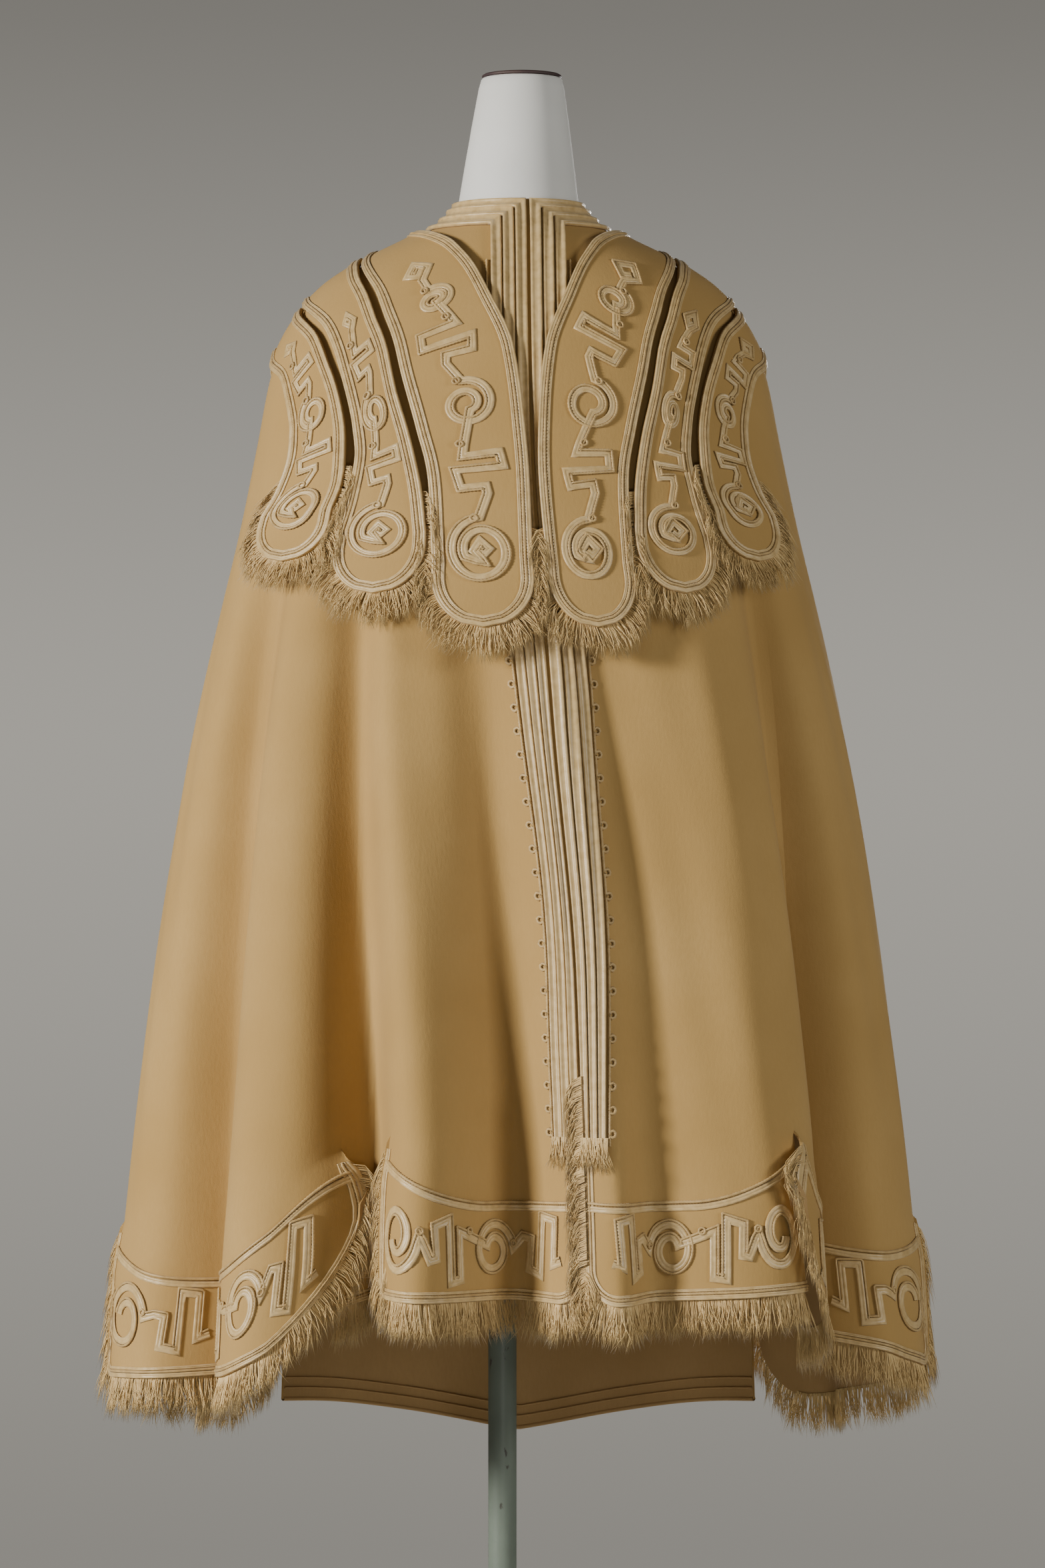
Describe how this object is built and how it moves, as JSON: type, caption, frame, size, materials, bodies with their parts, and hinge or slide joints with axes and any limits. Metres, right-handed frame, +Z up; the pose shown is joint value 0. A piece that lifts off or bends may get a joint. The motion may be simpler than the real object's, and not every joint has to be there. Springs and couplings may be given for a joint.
{
  "type": "cape on a dress form",
  "caption": "Fringed wool cape with shoulder straps and satin ribbon edging, on a limbless dress form with a pole and a round foot.",
  "frame": {"origin": "middle of the foot's underside, on the pole's axis, on the floor", "axes": "+Z up the pole, -Y towards the front of the cape, +X to the viewer's right"},
  "size_m": [0.6939, 0.5049, 1.5107],
  "materials": {
    "wool": "felted wool",
    "satin": "satin ribbon",
    "fringe": "silk fringe",
    "form": "matte",
    "cap": "matte",
    "paint": "worn paint"
  },
  "bodies": {
    "root": {"cape_front_left": "wool", "cape_front_right": "wool", "cape_side_left": "wool", "cape_side_right": "wool", "cape_back": "wool", "strap_inner_left": "wool", "strap_middle_left": "wool", "strap_outer_left": "wool", "strap_inner_right": "wool", "strap_middle_right": "wool", "strap_outer_right": "wool", "front_band_left": "satin", "front_band_right": "satin", "neck_band_left": "satin", "neck_band_right": "satin", "hem_braid_front_left_1": "satin", "hem_braid_front_left_2": "satin", "hem_braid_front_left_3": "satin", "hem_braid_side_left_1": "satin", "hem_braid_side_left_2": "satin", "hem_braid_front_right_1": "satin", "hem_braid_front_right_2": "satin", "hem_braid_side_right_1": "satin", "hem_braid_side_right_2": "satin", "hem_fringe_front_left_1": "fringe", "hem_fringe_front_left_2": "fringe", "hem_fringe_front_left_3": "fringe", "hem_fringe_side_left_1": "fringe", "hem_fringe_side_left_2": "fringe", "hem_fringe_front_right_1": "fringe", "hem_fringe_front_right_2": "fringe", "hem_fringe_side_right_1": "fringe", "hem_fringe_side_right_2": "fringe", "strap_fringe_inner_front_left": "fringe", "strap_fringe_inner_back_left": "fringe", "strap_fringe_middle_front_left": "fringe", "strap_fringe_middle_back_left": "fringe", "strap_fringe_outer_front_left": "fringe", "strap_fringe_outer_back_left": "fringe", "strap_fringe_inner_front_right": "fringe", "strap_fringe_inner_back_right": "fringe", "strap_fringe_middle_front_right": "fringe", "strap_fringe_middle_back_right": "fringe", "strap_fringe_outer_front_right": "fringe", "strap_fringe_outer_back_right": "fringe", "form_torso": "form", "form_neck": "form", "form_neck_cap": "cap", "form_pole": "paint", "form_foot": "paint"}
  },
  "joints": []
}
